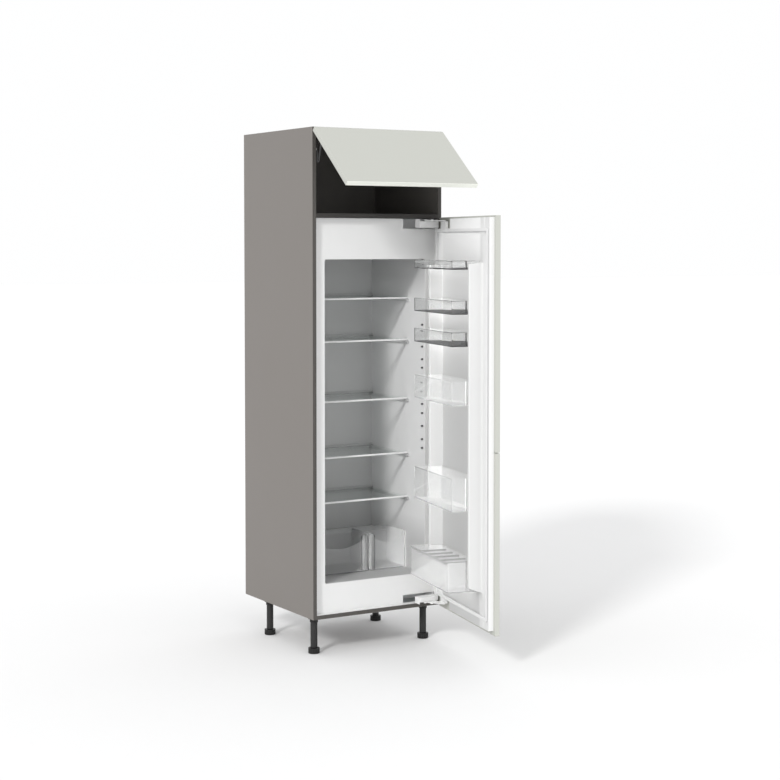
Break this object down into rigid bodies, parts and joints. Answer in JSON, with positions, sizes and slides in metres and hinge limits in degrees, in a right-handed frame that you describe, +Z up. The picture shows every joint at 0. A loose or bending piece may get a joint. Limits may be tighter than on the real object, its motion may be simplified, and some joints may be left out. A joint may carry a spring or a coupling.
{
  "type": "fridge housing unit",
  "caption": "Tall kitchen cabinet on legs with a lift-up flap and a built-in fridge behind a two-part furniture door.",
  "frame": {"origin": "centre of the bottom board's underside", "axes": "+Z up, -Y out of the front, +X to the right seen from the front"},
  "size_m": [0.6017, 1.2079, 2.1],
  "materials": {
    "board_grey": "satin",
    "board_dark": "satin",
    "front_pale": "satin",
    "steel_white": "satin",
    "plastic_white": "satin",
    "plastic_clear": "gloss",
    "plastic_black": "matte",
    "plastic_grey": "matte",
    "glass_clear": "gloss",
    "rubber_grey": "matte",
    "foam": "matte",
    "steel_bright": "satin",
    "steel_galvanised": "satin",
    "metal_black": "satin",
    "copper": "satin",
    "aluminium": "satin"
  },
  "bodies": {
    "cabinet": {"side_panel_left": "board_grey", "side_panel_right": "board_grey", "bottom_panel": "board_grey", "top_panel": "board_grey", "appliance_shelf": "board_grey", "compartment_back": "board_dark", "rear_rails": "board_grey", "cam_fittings": "steel_bright", "leg_sockets": "plastic_black", "leg_screws": "steel_bright", "leg_tubes": "plastic_black", "appliance_case": "steel_galvanised", "front_frame": "plastic_white", "inner_liner": "plastic_white", "insulation": "foam", "evaporator": "aluminium", "compressor": "metal_black", "condenser": "metal_black", "refrigerant_pipe": "copper", "drip_tray": "plastic_black", "lamp_housing": "plastic_white", "lamp_lens": "plastic_clear", "mains_inlet": "plastic_black", "hinge_plates": "steel_bright", "flap_hinge_arms": "steel_bright", "stay_housings": "plastic_grey"},
    "door": {"door_skin": "steel_white", "door_foam": "foam", "door_liner": "plastic_white", "door_gasket": "rubber_grey", "front_upper": "front_pale", "front_lower": "front_pale", "front_brackets": "steel_bright", "rack_top": "plastic_clear", "racks_small": "plastic_clear", "rack_medium": "plastic_clear", "rack_tall": "plastic_clear", "rack_bottom": "plastic_clear", "hinge_leaves": "steel_bright"},
    "bars_a": {"hinge_bars_a": "steel_bright"},
    "bars_b": {"hinge_bars_b": "steel_bright"},
    "bars_c": {"hinge_bars_c": "plastic_white"},
    "bars_d": {"hinge_bars_d": "steel_bright"},
    "flap": {"flap_panel": "front_pale", "flap_hinge_cups": "steel_bright", "stay_brackets": "steel_bright"},
    "arms": {"stay_arms": "steel_bright"},
    "links": {"stay_links": "steel_galvanised"},
    "knob": {"thermostat_knob": "plastic_grey"},
    "crisper_l": {"crisper_left": "plastic_clear"},
    "crisper_r": {"crisper_right": "plastic_clear"},
    "foot_fl": {"foot_front_left": "plastic_black"},
    "foot_fr": {"foot_front_right": "plastic_black"},
    "foot_rl": {"foot_rear_left": "plastic_black"},
    "foot_rr": {"foot_rear_right": "plastic_black"},
    "pane_1": {"shelf_1": "glass_clear"},
    "pane_2": {"shelf_2": "glass_clear"},
    "pane_3": {"shelf_3": "glass_clear"},
    "pane_4": {"shelf_4": "glass_clear"},
    "pane_5": {"shelf_5": "glass_clear"}
  },
  "joints": [
    {"name": "door_hinge", "type": "hinge", "parent": "cabinet", "child": "door", "pos_m": [0.299, -0.3205, 0.8], "axis": [0, 0, 1], "range_deg": [-78, 16]},
    {"name": "bars_a_hinge", "type": "hinge", "parent": "cabinet", "child": "bars_a", "pos_m": [0.271, -0.272, 0.0225], "axis": [0, 0, 1], "range_deg": [-78, 16]},
    {"name": "bars_b_hinge", "type": "hinge", "parent": "cabinet", "child": "bars_b", "pos_m": [0.256, -0.24602, 0.0225], "axis": [0, 0, 1], "range_deg": [-78, 16]},
    {"name": "bars_c_hinge", "type": "hinge", "parent": "door", "child": "bars_c", "pos_m": [0.26071, -0.38499, 0.0265], "axis": [0, 0, 1], "range_deg": [-16, 78]},
    {"name": "bars_d_hinge", "type": "hinge", "parent": "door", "child": "bars_d", "pos_m": [0.24539, -0.41078, 0.0265], "axis": [0, 0, 1], "range_deg": [-16, 78]},
    {"name": "flap_hinge", "type": "hinge", "parent": "cabinet", "child": "flap", "pos_m": [0, -0.314, 1.937], "axis": [-1, 0, 0], "range_deg": [-49.6, 50]},
    {"name": "arms_hinge", "type": "hinge", "parent": "cabinet", "child": "arms", "pos_m": [-0.278, -0.294, 1.863], "axis": [-1, 0, 0], "range_deg": [-49.6, 50]},
    {"name": "links_hinge", "type": "hinge", "parent": "arms", "child": "links", "pos_m": [-0.2745, -0.3075, 1.815], "axis": [-1, 0, 0], "range_deg": [-50, 49.6]},
    {"name": "knob_hinge", "type": "hinge", "parent": "cabinet", "child": "knob", "pos_m": [0.05, -0.1125, 1.43], "axis": [0, 0, -1], "range_deg": [0, 270]},
    {"name": "pane_1_slide", "type": "slide", "parent": "cabinet", "child": "pane_1", "axis": [0, -1, 0], "range_m": [0, 0.15]},
    {"name": "pane_2_slide", "type": "slide", "parent": "cabinet", "child": "pane_2", "axis": [0, -1, 0], "range_m": [0, 0.15]},
    {"name": "pane_3_slide", "type": "slide", "parent": "cabinet", "child": "pane_3", "axis": [0, -1, 0], "range_m": [0, 0.15]},
    {"name": "pane_4_slide", "type": "slide", "parent": "cabinet", "child": "pane_4", "axis": [0, -1, 0], "range_m": [0, 0.15]},
    {"name": "pane_5_slide", "type": "slide", "parent": "cabinet", "child": "pane_5", "axis": [0, -1, 0], "range_m": [0, 0.15]},
    {"name": "crisper_left_slide", "type": "slide", "parent": "cabinet", "child": "crisper_l", "axis": [0, -1, 0], "range_m": [0, 0.2]},
    {"name": "crisper_right_slide", "type": "slide", "parent": "cabinet", "child": "crisper_r", "axis": [0, -1, 0], "range_m": [0, 0.15]},
    {"name": "foot_front_left_thread", "type": "slide", "parent": "cabinet", "child": "foot_fl", "axis": [0, 0, -1], "range_m": [-0.01, 0.02]},
    {"name": "foot_front_right_thread", "type": "slide", "parent": "cabinet", "child": "foot_fr", "axis": [0, 0, -1], "range_m": [-0.01, 0.02]},
    {"name": "foot_rear_left_thread", "type": "slide", "parent": "cabinet", "child": "foot_rl", "axis": [0, 0, -1], "range_m": [-0.01, 0.02]},
    {"name": "foot_rear_right_thread", "type": "slide", "parent": "cabinet", "child": "foot_rr", "axis": [0, 0, -1], "range_m": [-0.01, 0.02]}
  ],
  "couplings": [
    {"joint": "bars_a_hinge", "follows": "door_hinge", "ratio": 1},
    {"joint": "bars_b_hinge", "follows": "door_hinge", "ratio": 1},
    {"joint": "bars_c_hinge", "follows": "door_hinge", "ratio": -1},
    {"joint": "bars_d_hinge", "follows": "door_hinge", "ratio": -1},
    {"joint": "arms_hinge", "follows": "flap_hinge", "ratio": 1},
    {"joint": "links_hinge", "follows": "flap_hinge", "ratio": -1}
  ]
}
